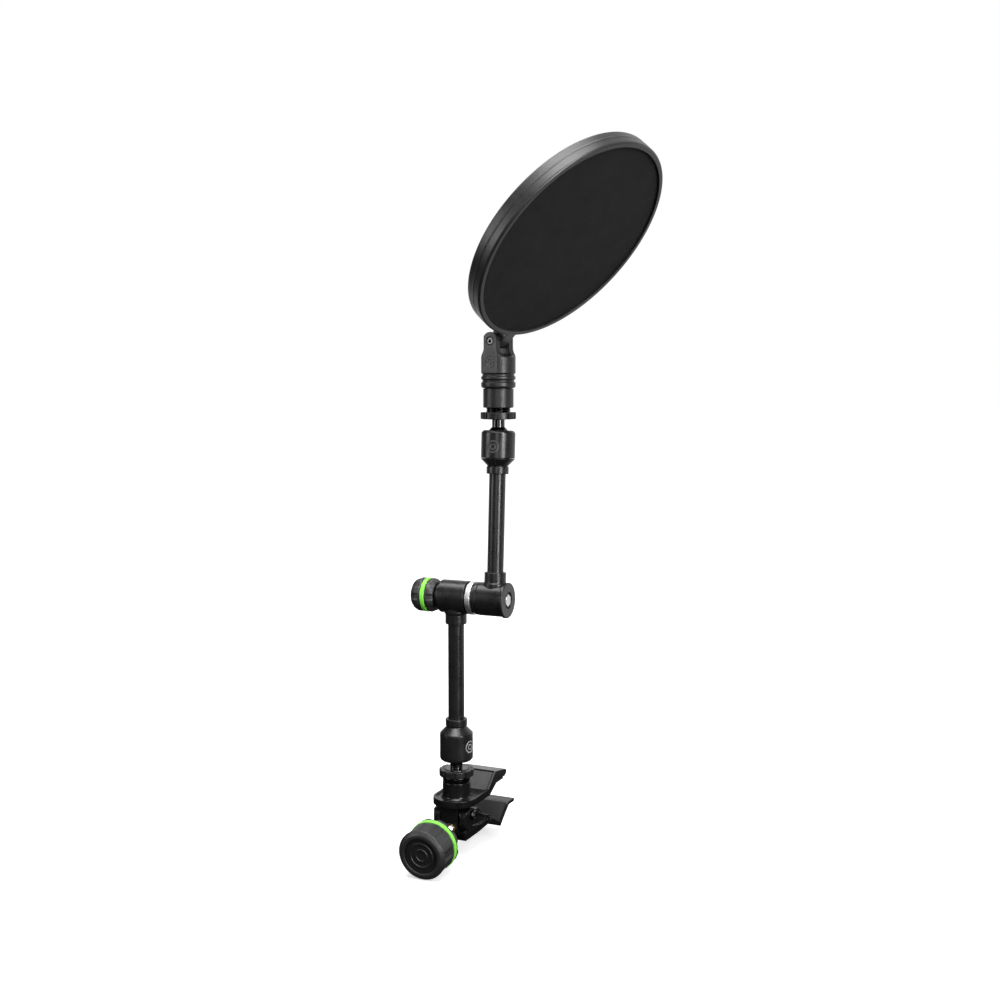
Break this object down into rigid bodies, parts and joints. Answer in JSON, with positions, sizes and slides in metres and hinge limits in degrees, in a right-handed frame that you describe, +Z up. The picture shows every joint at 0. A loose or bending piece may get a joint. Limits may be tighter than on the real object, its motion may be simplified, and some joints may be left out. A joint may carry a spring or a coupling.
{
  "type": "clamp-on pop filter",
  "caption": "Clamp-on pop filter: jointed arm with one elbow knob that locks its ball joints, tube clamp with a screw knob, and a round fabric filter tilting in a yoke.",
  "frame": {"origin": "centre of the upper jaw pad's flat gripping face", "axes": "+Z up along the arm, +Y the way the jaws point, +X along the jaw hinge's pin"},
  "size_m": [0.1621, 0.1447, 0.4635],
  "materials": {
    "black_metal": "satin black anodised",
    "black_cast": "satin black powder coat",
    "steel": "bright turned",
    "brass": "turned",
    "grip_rubber": "matt",
    "pad_rubber": "matt",
    "black_plastic": "satin",
    "frame_plastic": "fine matt",
    "green_ring": "satin",
    "screen_fabric": "fine open weave"
  },
  "bodies": {
    "clamp": {"upper_jaw": "black_cast", "upper_jaw_pad": "pad_rubber", "screw_bush": "brass", "hinge_pin": "steel", "hinge_clip": "steel", "jaw_spring": "steel"},
    "jaw": {"lower_jaw": "black_cast", "lower_jaw_pad": "pad_rubber"},
    "foot": {"screw_foot": "steel"},
    "clamp_knob": {"clamp_screw": "steel", "clamp_knob_hub": "black_plastic", "clamp_knob_rear_grip": "grip_rubber", "clamp_knob_ring": "green_ring", "clamp_knob_front_grip": "grip_rubber", "clamp_knob_bezel": "black_plastic", "clamp_knob_cap": "black_plastic"},
    "lower_stud": {"lower_ball_stud": "steel"},
    "lower_nut": {"lower_lock_nut": "black_plastic"},
    "lower_cup": {"lower_ball_cup": "brass"},
    "lower_arm": {"lower_ball_housing": "black_metal", "lower_tube_fitting": "black_metal", "lower_tube": "black_metal", "lower_elbow_housing": "black_metal", "elbow_knob_washer": "black_metal", "elbow_inner_ring": "black_metal", "elbow_friction_washer": "steel", "elbow_spring": "steel"},
    "lower_rod": {"lower_push_rod": "steel"},
    "lower_cone": {"lower_thrust_cone": "brass"},
    "elbow_knob": {"elbow_knob_hub": "black_plastic", "elbow_knob_insert": "brass", "elbow_knob_rear_grip": "grip_rubber", "elbow_knob_ring": "green_ring", "elbow_knob_front_grip": "grip_rubber"},
    "upper_arm": {"upper_elbow_housing": "black_metal", "elbow_wear_ring": "black_plastic", "elbow_outer_ring": "black_metal", "upper_tube": "black_metal", "upper_tube_fitting": "black_metal", "upper_ball_housing": "black_metal"},
    "upper_cone": {"upper_thrust_cone": "brass", "draw_bolt": "steel"},
    "upper_rod": {"upper_push_rod": "steel"},
    "upper_cup": {"upper_ball_cup": "brass"},
    "upper_stud": {"upper_ball_stud": "steel"},
    "upper_nut": {"upper_lock_nut": "black_plastic"},
    "yoke": {"yoke": "black_metal", "yoke_thread_insert": "black_metal", "pivot_screw": "steel", "pivot_nut": "steel"},
    "filter": {"front_frame": "frame_plastic", "rear_frame": "frame_plastic", "front_screen": "screen_fabric", "rear_screen": "screen_fabric", "spacer_hoop": "frame_plastic"}
  },
  "joints": [
    {"name": "clamp_knob_turn", "type": "hinge", "parent": "foot", "child": "clamp_knob", "pos_m": [0, -0.0397, -0.01986], "axis": [0, 0.9952, 0.0976], "range_deg": [-360, 540]},
    {"name": "clamp_screw_travel", "type": "slide", "parent": "clamp", "child": "foot", "axis": [0, 0.9952, 0.0976], "range_m": [-0.00125, 0.00187]},
    {"name": "jaw_swing", "type": "hinge", "parent": "clamp", "child": "jaw", "pos_m": [0, -0.0405, -0.0117], "axis": [1, 0, 0], "range_deg": [-8.8, 13.2], "deforming": ["jaw_spring"]},
    {"name": "arm_base_turn", "type": "hinge", "parent": "clamp", "child": "lower_stud", "pos_m": [0, -0.0385, 0.0275], "axis": [0, 0, 1], "range_deg": [-175, 175]},
    {"name": "lower_lock_nut_turn", "type": "hinge", "parent": "lower_stud", "child": "lower_nut", "pos_m": [0, -0.0385, 0.0275], "axis": [0, 0, 1], "range_deg": [0, 270]},
    {"name": "lower_ball_tilt", "type": "hinge", "parent": "lower_stud", "child": "lower_cup", "pos_m": [0, -0.0385, 0.0275], "axis": [1, 0, 0], "range_deg": [-20, 20]},
    {"name": "lower_ball_swivel", "type": "hinge", "parent": "lower_cup", "child": "lower_arm", "pos_m": [0, -0.0385, 0.0275], "axis": [0, 0, 1], "range_deg": [-175, 175]},
    {"name": "elbow_turn", "type": "hinge", "parent": "lower_arm", "child": "upper_arm", "pos_m": [0, -0.0385, 0.134], "axis": [1, 0, 0], "range_deg": [-135, 135]},
    {"name": "lower_rod_travel", "type": "slide", "parent": "lower_arm", "child": "lower_rod", "axis": [0, 0, 1], "range_m": [0, 0.00063]},
    {"name": "lower_cone_travel", "type": "slide", "parent": "lower_arm", "child": "lower_cone", "axis": [-1, 0, 0], "range_m": [0, 0.000624]},
    {"name": "elbow_knob_turn", "type": "hinge", "parent": "lower_cone", "child": "elbow_knob", "pos_m": [0, -0.0385, 0.134], "axis": [-1, 0, 0], "range_deg": [0, 450]},
    {"name": "upper_cone_travel", "type": "slide", "parent": "upper_arm", "child": "upper_cone", "axis": [1, 0, 0], "range_m": [0, 0.00063]},
    {"name": "upper_rod_travel", "type": "slide", "parent": "upper_arm", "child": "upper_rod", "axis": [0, -0.0551, -0.9985], "range_m": [0, 0.00063]},
    {"name": "upper_ball_swivel", "type": "hinge", "parent": "upper_arm", "child": "upper_cup", "pos_m": [0.028, -0.03263, 0.24034], "axis": [0, 0.0551, 0.9985], "range_deg": [-175, 175]},
    {"name": "upper_ball_tilt", "type": "hinge", "parent": "upper_cup", "child": "upper_stud", "pos_m": [0.028, -0.03263, 0.24034], "axis": [1, 0, 0], "range_deg": [-20, 20]},
    {"name": "upper_lock_nut_turn", "type": "hinge", "parent": "upper_stud", "child": "upper_nut", "pos_m": [0.028, -0.03263, 0.24034], "axis": [0, 0, 1], "range_deg": [0, 270]},
    {"name": "yoke_turn", "type": "hinge", "parent": "upper_stud", "child": "yoke", "pos_m": [0.028, -0.03263, 0.24034], "axis": [0, 0, 1], "range_deg": [-175, 175]},
    {"name": "filter_tilt", "type": "hinge", "parent": "yoke", "child": "filter", "pos_m": [0.028, -0.03263, 0.30104], "axis": [0.2198, 0.9755, 0], "range_deg": [-125, 50]}
  ],
  "couplings": [
    {"joint": "clamp_knob_turn", "follows": "clamp_screw_travel", "rad_per_m": 5026.5},
    {"joint": "jaw_swing", "follows": "clamp_screw_travel", "rad_per_m": 121.95},
    {"joint": "upper_cone_travel", "follows": "lower_cone_travel", "ratio": 1},
    {"joint": "lower_rod_travel", "follows": "lower_cone_travel", "ratio": 1},
    {"joint": "upper_rod_travel", "follows": "lower_cone_travel", "ratio": 1},
    {"joint": "elbow_knob_turn", "follows": "lower_cone_travel", "rad_per_m": 12566}
  ]
}
